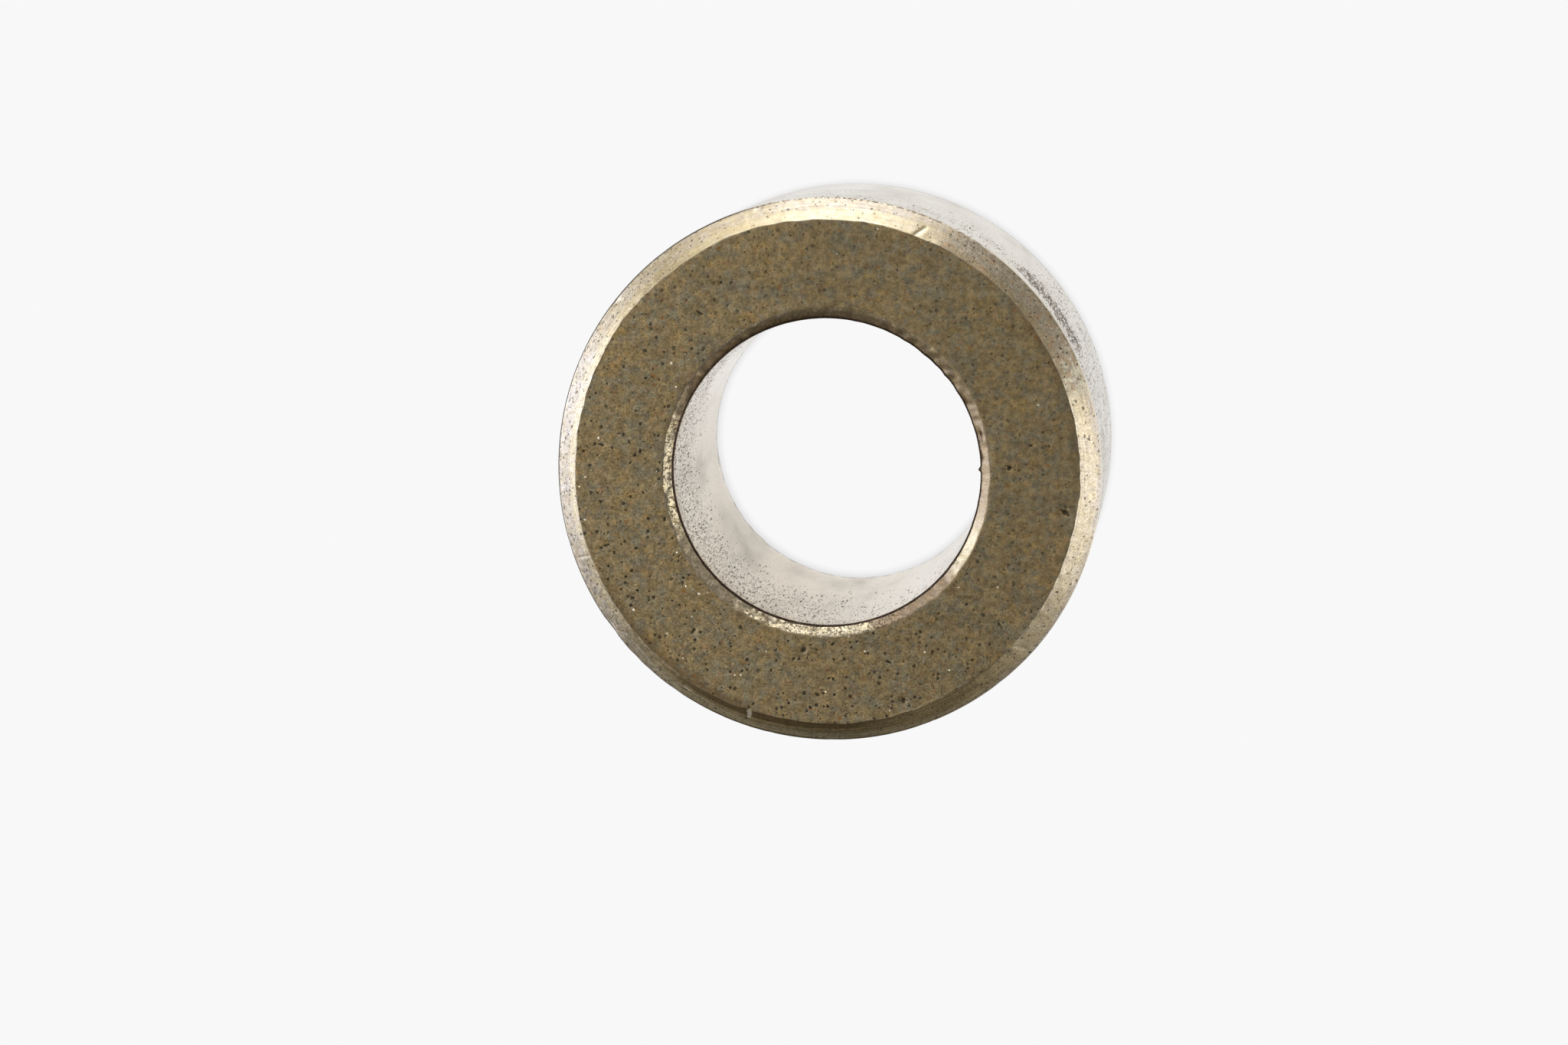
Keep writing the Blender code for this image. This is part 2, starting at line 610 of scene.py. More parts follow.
def cut_marks(grid):
    """The handling marks and the large pores, as grooves and hollows."""
    edge = grid.travel[grid.corners[UPPER_FACE_OUTER]]
    outwards = grid.along(edge - grid.travel)
    upper = grid.height > SLEEVE["length"] / 2
    for angle, place, turn, length, width, depth in MARKS:
        around = grid.turned(angle) * SLEEVE["outer"]
        out = outwards - place * MM
        lengthwise, across = along_and_across(around, out, turn)
        groove = np.exp(-(across / (width * MM)) ** 2 - (lengthwise / (length * MM / 2)) ** 4)
        near = upper & (np.abs(around) < MARK_ROOM) & (np.abs(out) < MARK_ROOM)
        grid.push(-depth * MM * groove * near)
    on_top = grid.along(grid.zones == FACE) & upper
    flat = grid.points()
    for angle, distance, length, width, turn in LARGE_PORES:
        x, y = polar(angle, distance * MM)
        lengthwise, across = along_and_across(flat[:, 0] - x, flat[:, 1] - y, turn)
        hollow = np.exp(-(lengthwise / (0.5 * length * MM)) ** 2 - (across / (0.5 * width * MM)) ** 2)
        grid.push(-LARGE_PORE_DEPTH * width * MM * hollow * on_top)


BURR_ANGLE = 1.5
BURR_WIDTH = 0.09 * MM
BURR_HEIGHT = 0.13 * MM


def raise_burr(grid):
    """A burr that stands in from the edge of the bore."""
    around = grid.turned(BURR_ANGLE) * SLEEVE["bore"]
    inwards = BURR_HEIGHT * np.exp(-(around / BURR_WIDTH) ** 2)
    grid.radius = grid.radius - inwards * grid.beside(UPPER_BORE_CORNER, BURR_WIDTH)


def ring_mesh(rng):
    """Vertices, quads, and each quad's zone and place in the flat layout for textures."""
    grid = Grid()
    slide_breaks(grid)
    wander_corners(grid, rng)
    roughen(grid, rng)
    chip_edges(grid, rng)
    cut_marks(grid)
    raise_burr(grid)
    rows, columns = grid.rows, len(grid.columns)
    here = np.arange(columns * rows).reshape(columns, rows)
    beside, up = np.roll(here, -1, axis=0), np.roll(here, -1, axis=1)
    quads = np.stack([here, beside, np.roll(up, -1, axis=0), up], axis=-1).reshape(-1, 4)
    closing = np.linalg.norm(grid.section[0] - grid.section[-1])
    v = np.append(grid.travel, grid.travel[-1] + closing)
    v /= v[-1]
    u = np.append(grid.columns, grid.columns[0] + 2 * math.pi)
    u = (u - u[0]) / (2 * math.pi)
    u = np.repeat(u[:-1], rows), np.repeat(u[1:], rows)
    v = np.tile(v[:-1], columns), np.tile(v[1:], columns)
    layout = np.stack([np.stack([u[i], v[j]], axis=1) for i, j in ((0, 0), (1, 0), (1, 1), (0, 1))], axis=1)
    return grid.points(), quads, np.tile(grid.zones, columns), layout


# Open pores cut as pits, per square millimetre of each surface.
PORE_DENSITY = {FACE: 3.6, OUTER_CHAMFER: 2.8, BORE_CHAMFER: 3.5, BORE: 0.5, OUTSIDE: 0.5}
PORE_RADIUS = (0.014 * MM, 0.072 * MM)
# A power that makes most pores small, the slimmest pore's width for its length, and the depth for the radius.
PORE_SMALLNESS = 1.5
PORE_SLIMMEST = 0.45
PORE_DEPTH = 1.4
# Each rim point's angle is off by up to this many radians and its reach falls short by up to this share.
RIM_OFF_ANGLE = 0.45
RIM_OFF_REACH = 0.35
# This share of the pores has another beside it. A pore keeps within a share of its quad, and off its edges.
CLUSTER_SHARE = 0.1
PORE_ROOM = 0.46
PORE_MARGIN = 0.04
# Pores are closer together towards this picture angle, by this share.
OPEN_SIDE = 225
OPEN_GAIN = 0.45


def pick_pores(corners, quad_zone, area, rng):
    """The numbers of the quads that get a pore."""
    density = np.zeros(len(corners))
    for zone, per_mm2 in PORE_DENSITY.items():
        density[quad_zone == zone] = per_mm2 / MM ** 2
    middle = corners.mean(axis=1)
    side = np.arctan2(middle[:, 1], middle[:, 0]) - about_z(OPEN_SIDE)
    density *= 1 + OPEN_GAIN * np.cos(side)
    picked = rng.random(len(corners)) < density * area
    picked |= np.roll(picked, 1) & (rng.random(len(corners)) < CLUSTER_SHARE) & (density > 0)
    return np.flatnonzero(picked)


def blend(values, u, v):
    """Values at the corners of quads, blended to the place u, v of each quad."""
    u, v = u[:, None], v[:, None]
    return (1 - u) * (1 - v) * values[:, 0] + u * (1 - v) * values[:, 1] + u * v * values[:, 2] \
        + (1 - u) * v * values[:, 3]


def shape_pores(corners, normal, layout, rng):
    """A pit in each quad. Returns the four points of its rim, its bottom, and their places in the layout."""
    count = len(corners)
    side_a = np.linalg.norm(corners[:, 1] - corners[:, 0], axis=1)
    side_b = np.linalg.norm(corners[:, 3] - corners[:, 0], axis=1)
    smallest, largest = PORE_RADIUS
    size = smallest + (largest - smallest) * rng.random(count) ** PORE_SMALLNESS
    size = np.minimum(size, PORE_ROOM * np.minimum(side_a, side_b))
    margin_u = np.minimum(size / side_a + PORE_MARGIN, 0.5)
    margin_v = np.minimum(size / side_b + PORE_MARGIN, 0.5)
    u = margin_u + rng.uniform(0, 1, count) * (1 - 2 * margin_u)
    v = margin_v + rng.uniform(0, 1, count) * (1 - 2 * margin_v)
    middle = blend(corners, u, v)
    way_a = (corners[:, 1] - corners[:, 0]) / side_a[:, None]
    way_b = np.cross(normal, way_a)
    slim_a, slim_b = rng.uniform(PORE_SLIMMEST, 1, count), rng.uniform(PORE_SLIMMEST, 1, count)
    rims, rim_layouts = [], []
    for corner in range(4):
        angle = math.radians(225 + 90 * corner) + rng.uniform(-RIM_OFF_ANGLE, RIM_OFF_ANGLE, count)
        reach = size * rng.uniform(1 - RIM_OFF_REACH, 1, count)
        a, b = reach * np.cos(angle) * slim_a, reach * np.sin(angle) * slim_b
        rims.append(middle + a[:, None] * way_a + b[:, None] * way_b)
        rim_layouts.append(blend(layout, u + a / side_a, v + b / side_b))
    bottom = middle - (PORE_DEPTH * size)[:, None] * normal
    return rims, bottom, rim_layouts, blend(layout, u, v)


def round_pores(corners, rims, bottoms):
    """Values at the corners of the four quads round each pore, and of the four triangles inside it."""
    collars, cones = [], []
    for corner in range(4):
        after = (corner + 1) % 4
        collars.append(np.stack([corners[:, corner], corners[:, after], rims[after], rims[corner]], axis=1))
        cones.append(np.stack([rims[corner], rims[after], bottoms], axis=1))
    return np.concatenate(collars), np.concatenate(cones)


def add_pores(points, quads, quad_zone, layout, rng):
    """Cuts a small pit into a random choice of quads. Its rim is an uneven diamond inside the quad."""
    corners = points[quads]
    cross = np.cross(corners[:, 2] - corners[:, 0], corners[:, 3] - corners[:, 1])
    area = np.linalg.norm(cross, axis=1) / 2
    chosen = pick_pores(corners, quad_zone, area, rng)
    normal = cross[chosen] / (2 * area[chosen, None])
    rims, bottom, rim_layouts, bottom_layout = shape_pores(corners[chosen], normal, layout[chosen], rng)
    count = len(chosen)
    rim_index = [len(points) + corner * count + np.arange(count) for corner in range(4)]
    bottom_index = len(points) + 4 * count + np.arange(count)
    kept = np.ones(len(quads), bool)
    kept[chosen] = False
    collars, cones = round_pores(quads[chosen], rim_index, bottom_index)
    collar_layout, cone_layout = round_pores(layout[chosen], rim_layouts, bottom_layout)
    zones = np.concatenate([quad_zone[kept]] + 4 * [quad_zone[chosen]])
    return (np.concatenate([points, *rims, bottom]), np.concatenate([quads[kept], collars]), zones,
            np.concatenate([layout[kept], collar_layout]), cones, cone_layout)


SHARP_ANGLE = math.radians(28)


def sleeve_object(name):
    rng = np.random.default_rng(SEED)
    points, quads, zones, layout, cones, cone_layout = add_pores(*ring_mesh(rng), rng)
    mesh = bpy.data.meshes.new(name)
    mesh.vertices.add(len(points))
    mesh.vertices.foreach_set("co", points.astype(np.float32).ravel())
    mesh.loops.add(4 * len(quads) + 3 * len(cones))
    mesh.loops.foreach_set("vertex_index", np.concatenate([quads.ravel(), cones.ravel()]).astype(np.int32))
    mesh.polygons.add(len(quads) + len(cones))
    starts = np.concatenate([4 * np.arange(len(quads)), 4 * len(quads) + 3 * np.arange(len(cones))])
    mesh.polygons.foreach_set("loop_start", starts.astype(np.int32))
    slots = np.concatenate([zones, np.full(len(cones), PORE)])
    mesh.polygons.foreach_set("material_index", slots.astype(np.int32))
    mesh.update(calc_edges=True)
    flat = mesh.uv_layers.new(name="OFBake")
    flat.data.foreach_set("uv", np.concatenate([layout.ravel(), cone_layout.ravel()]).astype(np.float32))
    mesh.validate()
    mesh.shade_smooth()
    mesh.set_sharp_from_angle(angle=SHARP_ANGLE)
    piece = bpy.data.objects.new(name, mesh)
    bpy.context.scene.collection.objects.link(piece)
    return piece


# ---- Sintered bronze ----
class Bronze:
    """One material of the sleeve: a Principled shader with the coordinates that its patterns are drawn in."""

    def __init__(self, name):
        self.material = bpy.data.materials.new(name)
        self.material.use_nodes = True
        g = self.g = Nodes(self.material.node_tree)
        metres = g.add("TexCoord").outputs["Object"]
        self.where = g.vector("SCALE", metres, 1 / MM)
        self.x, self.y, self.z = g.add("SeparateXYZ", {0: self.where}).outputs
        self.radius = g.hypot(self.x, self.y)
        self.cos = g.math("DIVIDE", self.x, self.radius)
        self.sin = g.math("DIVIDE", self.y, self.radius)
        self.from_middle = g.math("ABSOLUTE", g.minus(self.z, IN_MM["length"] / 2))
        self.upper = g.math("GREATER_THAN", self.z, IN_MM["length"] / 2)

    def shifted(self, x, y=0, z=0):
        return self.g.vector("ADD", self.where, (x, y, z))

    def stretched(self, x, y, z):
        return self.g.vector("MULTIPLY", self.where, (x, y, z))

    def turned(self, across, around_per_mm, across_per_mm):
        """Coordinates for marks left by turning: long round the ring, short across it."""
        g = self.g
        around = IN_MM["outer"] * around_per_mm
        x, y, z = g.times(self.cos, around), g.times(self.sin, around), g.times(across, across_per_mm)
        return g.add("CombineXYZ", {0: x, 1: y, 2: z}).outputs[0]

    def facing(self, middle):
        """The cosine of the angle round the ring from the picture angle middle."""
        cos, sin = polar(middle)
        return self.g.plus(self.g.times(self.cos, cos), self.g.times(self.sin, sin))

    def arc(self, start, end, fade, wobble=0):
        """1 between two picture angles, falling to 0 within fade degrees outside them."""
        half = math.radians((end - start) / 2)
        near = self.g.plus(self.facing((start + end) / 2), wobble)
        return self.g.step(near, math.cos(half + math.radians(fade)), math.cos(half))

    def crumbled(self, amount, per_mm, x=0, y=0, z=0):
        """Coordinates pushed about by noise, so that round spots become ragged ones. The amount is in mm."""
        return self.g.pushed(self.shifted(x, y, z), self.where, per_mm, amount)

    def warmed(self, colour):
        """The colour with soft patches of a warmer bronze."""
        g = self.g
        patches = g.step(g.noise(self.shifted(0, 0, 53), 2.4, 2, 0.5), 0.38, 0.62)
        return g.tinted(colour, g.colour(patches, (1, 1.005, 1.04), (1, 0.985, 0.93)))

    def oval(self, a, b, length, width, turn, wobble):
        """A mask for an uneven oval about the place where the coordinates a and b are both 0."""
        g = self.g
        cos, sin = math.cos(math.radians(turn)), math.sin(math.radians(turn))
        lengthwise = g.plus(g.times(a, cos / (0.5 * length)), g.times(b, sin / (0.5 * length)))
        across = g.minus(g.times(b, cos / (0.5 * width)), g.times(a, sin / (0.5 * width)))
        return g.step(g.plus(g.hypot(lengthwise, across), wobble), 0.75, 1.2, 1, 0)

    def finish(self, colour, roughness, bump, depth, normal=None, metallic=1):
        """Ends the material, with a bump whose depth is in mm, and returns it."""
        g = self.g
        height = {"Height": bump, "Distance": depth * MM, "Strength": 1}
        if normal is not None:
            height["Normal"] = normal
        normal = g.add("Bump", height).outputs[0]
        looks = {"Base Color": colour, "Roughness": roughness, "Metallic": metallic, "Normal": normal}
        shader = g.add("BsdfPrincipled", {**looks, "Specular IOR Level": 0.2})
        g.add("OutputMaterial", {"Surface": shader.outputs[0]})
        return self.material


def tilted_flecks(bronze, mask, random, tilt):
    """Normals of the bare crystal faces under mask, each leaning its own way."""
    g = bronze.g
    upright = g.add("NewGeometry").outputs["Normal"]
    return g.vector("NORMALIZE", g.vector("ADD", upright, g.any_way(random, g.times(mask, tilt))))


def large_pores(b):
    """A mask for the large pores of the upper face, with ragged outlines."""
    g = b.g
    wobble = g.unsteady(g.noise(b.where, 9, 3), 2.2)
    mask = 0
    for angle, distance, length, width, turn in LARGE_PORES:
        x, y = polar(angle, distance)
        pore = b.oval(g.minus(b.x, x), g.minus(b.y, y), 1.1 * length, 1.1 * width, turn, wobble)
        mask = g.most(mask, g.times(pore, b.upper))
    return mask


# The face darkens over RIM_WIDTH mm from RIM_START mm inside its edge, and painted light makes it lighter
# towards the last picture angle below.
RIM_START = 0.55
RIM_WIDTH = 0.45
PAINTED_LIGHT_SIDE = 195


def face_bronze():
    """Matt and mottled in grey, ochre and red, with open pores, rust spots and bare flecks."""
    b = Bronze("face")
    g = b.g
    crisp = g.step(b.facing(OPEN_SIDE), -0.9, 0.9, 0.62, 1.12)
    shift = g.unsteady(g.noise(b.where, 0.45, 2), 0.32)
    grey = g.step(g.plus(g.noise(b.shifted(31), 2, 3, 0.6), shift), 0.42, 0.66)
    ochre = g.step(g.minus(g.noise(b.shifted(0, 57), 2.8, 3, 0.6), shift), 0.52, 0.72)
    red = g.step(g.noise(b.shifted(0, 23), 3, 2, 0.5), 0.58, 0.72)
    grain = g.noise(b.where, 8.5, 3, 0.75)
    cloud = g.noise(b.shifted(0, 0, 71), 3.2, 2, 0.6)
    drift = g.noise(b.shifted(0, 0, 37), 1.1, 2, 0.6)
    colour = g.colour(g.times(grey, 0.8), (0.53, 0.405, 0.215), (0.445, 0.395, 0.275))
    colour = g.colour(g.times(ochre, 0.72), colour, (0.63, 0.43, 0.175))
    colour = g.colour(g.times(red, 0.5), colour, (0.6, 0.35, 0.18))
    tone = g.step(grain, 0.25, 0.75, 0.58, 1.42)
    tone = g.times(g.number(crisp, 1, tone), g.step(drift, 0.3, 0.7, 0.9, 1.1))
    tone = g.times(tone, g.step(cloud, 0.3, 0.7, 0.78, 1.22))
    # Painted light: the face's colour is made lighter towards one side.
    tone = g.times(tone, g.step(b.facing(PAINTED_LIGHT_SIDE), -1, 1, 0.89, 1.03))
    colour = g.toned(colour, tone)
    ragged = b.crumbled(0.07, 8, 0, 0, 3)
    pores, _ = g.spots(ragged, 3.7, 0.02, 0.105, 0.8, 0.25)
    tiny, _ = g.spots(ragged, 7, 0.015, 0.045, 0.75, 0.3)
    pores = g.times(g.most(pores, g.times(tiny, 0.8)), crisp)
    pores = g.most(pores, large_pores(b))
    rust, _ = g.spots(b.crumbled(0.07, 8, 21, 5), 2.2, 0.03, 0.11, 0.28, 0.2)
    colour = g.colour(g.times(rust, 0.75), colour, (0.52, 0.23, 0.055))
    colour = g.colour(g.times(pores, 0.84), colour, (0.052, 0.046, 0.036))
    rim_start = IN_MM["face_outer"] - RIM_START
    darkened = g.plus(b.arc(215, 245, 14), g.times(b.arc(5, 35, 14), 0.5))
    rim = g.times(g.step(b.radius, rim_start, rim_start + RIM_WIDTH), darkened)
    colour = g.colour(g.times(rim, 0.55), colour, (0.22, 0.14, 0.07))
    share = g.step(crisp, 0.6, 1.1, 0.04, 0.26)
    flecks, random = g.spots(b.crumbled(0.03, 9, 9, 4), 2.6, 0.02, 0.06, share)
    colour = g.colour(flecks, colour, (0.85, 0.78, 0.62))
    normal = tilted_flecks(b, flecks, random, 1.8)
    rough = g.number(flecks, g.step(grain, 0.3, 0.7, 0.62, 0.48), 0.12)
    height = g.minus(g.times(grain, 0.6), pores)
    return b.finish(colour, rough, height, 0.012, normal)


def taupe_tarnish(b, share, wander, blotch, wobble):
    """The colour of the upper outer chamfer's tarnished stretch, ochre by the face and warm in places."""
    g = b.g
    taupe = g.colour(g.step(blotch, 0.42, 0.58), (0.76, 0.69, 0.6), (0.52, 0.45, 0.375))
    taupe = g.colour(g.step(g.plus(share, wander), 0.12, 0.4, 0.6, 0), taupe, (0.62, 0.51, 0.33))
    warm = g.noise(b.shifted(41), 2.4, 2, 0.6)
    taupe = g.colour(g.step(warm, 0.51, 0.63, 0, 0.75), taupe, (0.7, 0.52, 0.37))
    return g.colour(g.times(b.arc(20, 23, 2, wobble), 0.6), taupe, (1, 0.95, 0.8))


def shaded_stretch(b, share, wander, worn, streak):
    """The colour of the upper outer chamfer's dark lower stretch, with painted shade darkest along its edges.
    """
    g = b.g
    inner = g.plus(share, g.times(wander, 0.4))
    # Painted shade: a dark band along the inner edge and a dark line along the outer edge of this stretch.
    lee = g.times(b.arc(240, 274, 10), g.step(inner, 0.28, 0.33, 1, 0))
    lee = g.most(lee, g.times(b.arc(244, 290, 10), g.step(share, 0.86, 0.91, 0, 0.85)))
    shaded = g.colour(worn, (0.7, 0.57, 0.38), (0.84, 0.73, 0.55))
    shaded = g.toned(shaded, g.step(streak, 0.35, 0.65, 0.78, 1.24))
    return g.colour(g.times(lee, 0.95), shaded, (0.33, 0.24, 0.14))


def scrapes(b, across):
    """A mask for the handling marks, with ragged outlines."""
    g = b.g
    ragged = g.unsteady(g.noise(b.where, 8, 3), 1.4)
    mask = 0
    for angle, place, turn, length, width, _ in MARKS:
        cos, sin = polar(angle)
        around = g.minus(g.times(b.y, cos), g.times(b.x, sin))
        outwards = g.minus(g.math("DIVIDE", across, math.sqrt(2)), place)
        facing = g.math("GREATER_THAN", b.facing(angle), 0)
        mark = b.oval(around, outwards, length, 1.6 * width, turn, ragged)
        mask = g.most(mask, g.times(mark, g.times(facing, b.upper)))
    return mask


def chamfer_bronze():
    """Burnished, with a duller outer facet, dark specks and the stretches that the photo shows."""
    b = Bronze("outer_chamfer")
    g = b.g
    out = g.minus(b.radius, IN_MM["face_outer"])
    down = g.minus(IN_MM["length"] / 2, b.from_middle)
    across = g.plus(out, down)
    share = g.math("DIVIDE", across, 2 * IN_MM["outer_chamfer_depth"])
    break_share = g.times(b.facing(BREAK_OUT_SIDE), BREAK_OFF_CENTRE)
    beyond = g.minus(g.minus(share, BREAK_SHARE), break_share)
    wander = g.unsteady(g.noise(b.where, 1.2, 3), 0.25)
    wobble = g.unsteady(g.noise(b.where, 2.5, 3), 0.05)
    worn = g.step(g.plus(beyond, wander), -0.06, 0.1)
    streak = g.noise(b.turned(across, 0.35, 9), 1, 3, 0.6)
    mottle = g.noise(b.shifted(0, 17), 2, 3, 0.5)
    grain = g.noise(b.where, 12, 3, 0.75)
    blotch = g.noise(b.shifted(0, 0, 13), 4.5, 3, 0.65)
    bright = g.colour(g.step(mottle, 0.4, 0.62), (0.82, 0.72, 0.555), (0.77, 0.67, 0.5))
    dull = g.colour(g.step(mottle, 0.38, 0.62), (0.76, 0.69, 0.6), (0.7, 0.61, 0.5))
    colour = g.colour(worn, bright, dull)
    colour = g.tinted(colour, (1, 1.01, 1.07), b.arc(310, 362, 20))
    colour = g.tinted(colour, (1, 0.965, 0.86), b.arc(108, 144, 14))
    colour = b.warmed(colour)
    matt = g.times(b.arc(19, 62, 2, wobble), b.upper)
    colour = g.colour(matt, colour, taupe_tarnish(b, share, wander, blotch, wobble))
    # Painted shade on the lower stretch of the upper chamfer, darkest in bands along its edges.
    shade = g.times(b.arc(238, 300, 22), b.upper)
    colour = g.colour(g.times(shade, 0.9), colour, shaded_stretch(b, share, wander, worn, streak))
    clean = b.arc(72, 114, 16)
    low_left = b.arc(204, 230, 8)
    grained = g.step(grain, 0.3, 0.7, g.number(clean, 0.66, 0.86), g.number(clean, 1.2, 1.08))
    blotched = g.step(blotch, 0.35, 0.65, g.number(low_left, 0.9, 0.74), g.number(low_left, 1.06, 1.22))
    tone = g.times(g.times(g.step(streak, 0.3, 0.7, 0.88, 1.09), grained), blotched)
    colour = g.tinted(colour, (1, 1.01, 1.08), low_left)
    colour = g.toned(colour, tone)
    specked = g.times(g.number(worn, 0.4, 0.85), g.number(clean, 1, 0.35))
    specks, _ = g.spots(b.crumbled(0.09, 6, 5), 5.5, 0.02, 0.085, specked, 0.3)
    colour = g.colour(g.times(specks, 0.9), colour, (0.12, 0.1, 0.08))
    scraped = scrapes(b, across)
    colour = g.colour(g.times(scraped, 0.8), colour, (0.95, 0.88, 0.76))
    glints, random = g.spots(b.crumbled(0.03, 9, 2, 6), 3, 0.015, 0.045, 0.1)
    glints = g.times(glints, b.arc(204, 300, 12))
    colour = g.colour(glints, colour, (0.95, 0.9, 0.78))
    rough = g.plus(g.number(worn, 0.15, 0.3), g.step(streak, 0.3, 0.7, 0.05, -0.03))
    rough = g.number(glints, g.number(matt, rough, 0.4), 0.12)
    height = g.minus(g.plus(g.times(streak, 0.4), g.times(grain, 0.6)), specks)
    bare = g.times(scraped, b.arc(215, 290, 15))
    metallic = g.number(bare, 1, 0.45)
    return b.finish(colour, rough, height, 0.006, tilted_flecks(b, glints, random, 2), metallic)


def bore_chamfer_bronze():
    """Crystals that glint, with dirt between them, dull in places, smooth at the right, and painted shade as
    a brown band and a near-black line along the bore edge at the top.
    """
    b = Bronze("bore_chamfer")
    g = b.g
    smooth = b.arc(312, 398, 22)
    dull = g.most(b.arc(207, 234, 9), g.times(b.arc(134, 150, 9), 0.8))
    edge_shade = b.arc(55, 152, 18)
    dirt = g.noise(b.where, 7, 3, 0.75)
    dirt = g.step(dirt, g.number(smooth, 0.5, 0.64), g.number(smooth, 0.6, 0.74))
    patches = g.noise(b.shifted(3), 0.9, 2)
    grain = g.noise(b.where, 13, 3, 0.7)
    crystals, random = g.spots(b.shifted(2, 8), 9, 0.04, 0.1, 0.85)
    colour = g.colour(g.step(patches, 0.4, 0.6), (0.92, 0.81, 0.6), (0.82, 0.715, 0.53))
    smoother = g.colour(b.arc(350, 400, 16), (0.79, 0.69, 0.5), (0.49, 0.39, 0.28))
    colour = g.colour(smooth, colour, smoother)
    colour = g.colour(b.arc(291, 317, 9), colour, (0.43, 0.33, 0.235))
    colour = b.warmed(colour)
    colour = g.colour(g.times(dirt, 0.8), colour, (0.16, 0.11, 0.06))
    inwards = g.minus(IN_MM["face_inner"], b.radius)
    meeting = g.plus(inwards, g.unsteady(g.noise(b.where, 5, 3, 0.6), 0.2))
    faced = g.step(meeting, -0.06, 0.05, 1, 0)
    colour = g.colour(faced, colour, (0.5, 0.39, 0.22))
    dulled = g.colour(dirt, (0.6, 0.51, 0.38), (0.36, 0.29, 0.2))
    colour = g.colour(g.times(dull, 0.8), colour, dulled)
    faced = g.most(faced, g.times(dull, 0.75))
    # Painted shade along the bore edge at the top and upper left of the picture: a brown band, and a
    # near-black line at the very edge.
    from_edge = g.minus(b.radius, IN_MM["bore"])
    edge_shade = g.times(edge_shade, g.step(from_edge, 0.25, 0.62, 0.8, 0))
    colour = g.colour(edge_shade, colour, (0.36, 0.265, 0.175))
    edge = g.times(g.step(from_edge, 0.04, 0.26, 1, 0), b.arc(95, 160, 22))
    colour = g.colour(g.times(edge, 0.8), colour, (0.085, 0.05, 0.038))
    colour = g.toned(colour, g.step(grain, 0.3, 0.7, 0.74, 1.2))
    calm = g.most(smooth, g.most(edge_shade, faced))
    normal = tilted_flecks(b, crystals, random, g.number(calm, 0.34, 0.06))
    rough = g.number(g.most(dirt, faced), 0.22, 0.52)
    return b.finish(colour, rough, grain, 0.008, normal, g.number(dirt, 1, 0.5))


# The specks of the walls are drawn out along the axis, as the sizing dies leave them: width over length.
BORE_SPECK_SHAPE = 0.17
OUTSIDE_SPECK_SHAPE = 0.11


def bore_dirt(b, near_end, smudge):
    """Where the bore has specks, how far it is smudged, and no crowded patch."""
    g = b.g
    length = IN_MM["length"]
    clean = b.arc(290, 400, 40)
    flecked = g.times(near_end, g.number(clean, 1.4, 0.4))
    smudged = g.step(smudge, 0.36, 0.8, 0, g.number(b.arc(185, 270, 30), 0.12, 0.25))
    blot = g.times(b.arc(213, 227, 9), g.step(b.z, length - 11, length - 7, 0.12, 0))
    return flecked, g.plus(smudged, blot), 0


def outside_dirt(b, near_end, smudge):
    """Where the outside has specks, how far it is smudged, and the patch at the right that specks crowd."""
    g = b.g
    clump = g.unsteady(g.noise(b.stretched(1, 1, 0.3), 1.6, 3, 0.6), 4)
    depth = g.plus(g.minus(IN_MM["length"], b.z), clump)
    deep = g.times(g.step(depth, 1.8, 3.2), g.step(depth, 5, 8.5, 1, 0))
    patch = g.times(deep, g.most(b.arc(28, 43, 7), g.times(b.arc(0, 60, 20), 0.3)))
    flecked = g.most(g.times(patch, 1.45), g.times(near_end, 0.2))
    flecked = g.most(flecked, g.times(b.arc(-25, 34, 12), g.number(near_end, 0.45, 0.66)))
    return flecked, g.step(smudge, 0.36, 0.8, 0, 0.16), patch


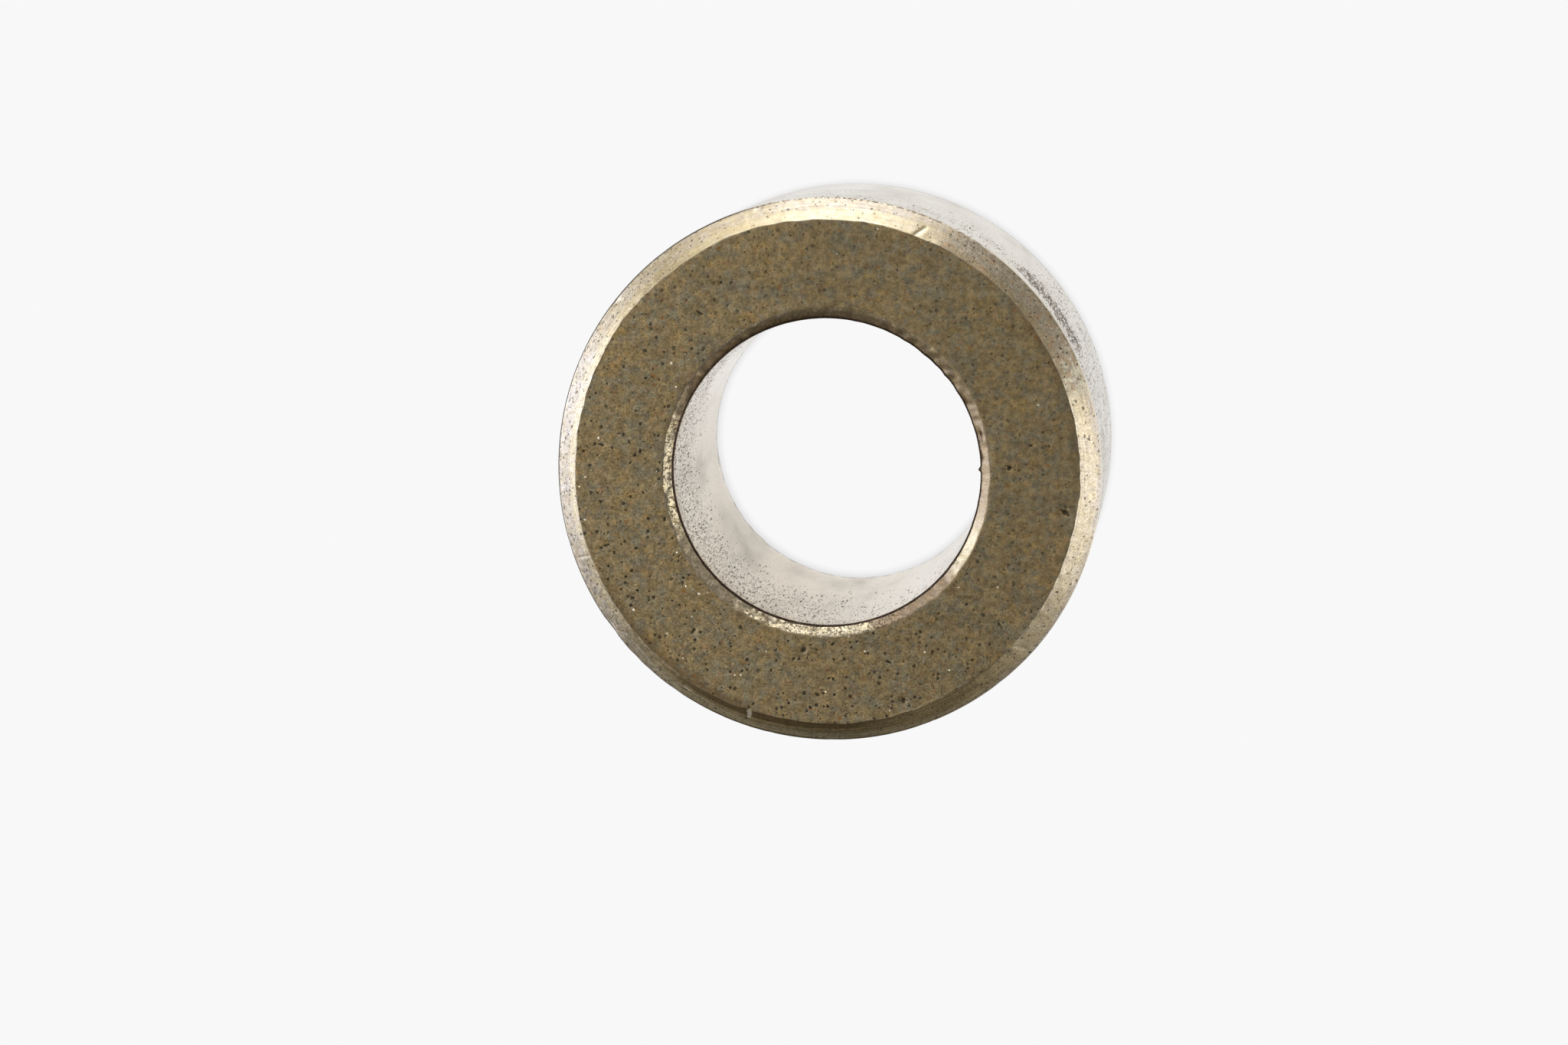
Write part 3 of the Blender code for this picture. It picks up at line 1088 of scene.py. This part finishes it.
def wall_bronze(name, bore):
    """Burnished, with specks that are denser towards the upper end, pits and smudges."""
    b = Bronze(name)
    g = b.g
    shape = BORE_SPECK_SHAPE if bore else OUTSIDE_SPECK_SHAPE
    drawn_out = b.stretched(1, 1, shape)
    fine = g.noise(drawn_out, 9, 4, 0.85)
    smudge = g.noise(b.stretched(1, 1, 0.3), 0.7, 2, 0.5)
    patches = g.noise(b.shifted(12), 0.3, 2)
    near_end = g.step(b.z, IN_MM["length"] - 12, IN_MM["length"] - 1)
    flecked, smudged, crowded = (bore_dirt if bore else outside_dirt)(b, near_end, smudge)
    grains = g.step(fine, g.number(crowded, 0.49, 0.43), g.number(crowded, 0.66, 0.54))
    dark = g.times(grains, g.most(g.times(flecked, 0.72), 0.14))
    dark = g.most(dark, smudged)
    ragged = g.pushed(drawn_out, drawn_out, 8, 0.04)
    for per_mm, smallest, largest in ((7, 0.018, 0.06), (12.5, 0.014, 0.036)):
        dots, _ = g.spots(ragged, per_mm, smallest, largest, g.times(flecked, 1.25), 0.25)
        dark = g.most(dark, g.times(dots, 0.9))
    pits, _ = g.spots(b.crumbled(0.05, 8), 3, 0.015, 0.055, 0.6, 0.2)
    dark = g.most(dark, g.times(pits, 0.6))
    colour = g.colour(g.step(patches, 0.35, 0.65), (0.6, 0.495, 0.35), (0.55, 0.455, 0.33))
    if bore:
        # Painted light: the bore's colour is lighter round the lower left of the picture.
        colour = g.toned(colour, g.number(b.arc(190, 222, 45), 1.13, 1))
    else:
        colour = g.toned(colour, g.number(b.arc(-40, 22, 18), 1, 0.84))
        colour = g.tinted(colour, (0.97, 1, 0.97))
        lines = g.noise(b.turned(b.z, 0.25, 6), 1, 3, 0.6)
        scratched = g.times(g.step(lines, 0.52, 0.7), b.arc(62, 112, 12))
        dark = g.most(dark, g.times(scratched, 0.22))
    colour = g.colour(g.times(dark, 0.9), colour, (0.1, 0.08, 0.06))
    rough = g.plus(g.step(patches, 0.35, 0.65, 0.1, 0.13), g.times(dark, 0.5))
    metallic = g.minus(1, g.times(dark, 0.7))
    return b.finish(colour, rough, fine, 0.002, None, metallic)


def bore_edge_bronze():
    """The dark line between the bore and its chamfer."""
    b = Bronze("bore_edge")
    g = b.g
    grain = g.noise(b.where, 6, 3, 0.6)
    colour = g.colour(g.step(grain, 0.35, 0.65), (0.051, 0.036, 0.0276), (0.1275, 0.09, 0.069))
    return b.finish(colour, 0.5, grain, 0.01)


def outer_edge_bronze():
    """The corner between the outer chamfer and the outside: bright where it was rubbed, or else tarnished."""
    b = Bronze("outer_edge")
    g = b.g
    grain = g.noise(b.where, 6, 3, 0.6)
    steady = b.arc(112, 318, 14)
    broken = g.times(b.arc(58, 120, 8), g.step(grain, 0.44, 0.56, 0, 0.8))
    tarnish = g.most(g.times(steady, g.step(grain, 0.25, 0.55, 0.8, 1)), broken)
    dark = g.colour(steady, (0.22, 0.13, 0.09), (0.1, 0.085, 0.065))
    colour = g.colour(tarnish, (0.8, 0.72, 0.6), dark)
    metallic = g.number(tarnish, 1, 0.15)
    return b.finish(colour, g.number(tarnish, 0.22, 0.6), grain, 0.006, metallic=metallic)


# Painted shade: the walls of the cut pits are near black, darker than their shape alone makes them.
def pore_shade_bronze():
    b = Bronze("pore")
    g = b.g
    grain = g.noise(b.where, 8, 2)
    colour = g.colour(grain, (0.01, 0.008, 0.005), (0.035, 0.026, 0.018))
    return b.finish(colour, 0.85, grain, 0.01, metallic=0)


make_camera()
make_world()
sleeve = sleeve_object("sintered_sleeve")
make_floor(min(vertex.co.z for vertex in sleeve.data.vertices))
for material in (wall_bronze("bore", True), bore_edge_bronze(), bore_chamfer_bronze(), face_bronze(),
                 chamfer_bronze(), outer_edge_bronze(), wall_bronze("outside", False), pore_shade_bronze()):
    sleeve.data.materials.append(material)
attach(sleeve, "root")
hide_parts("bushing_sleeve")
bpy.context.scene.view_settings.view_transform = "Standard"
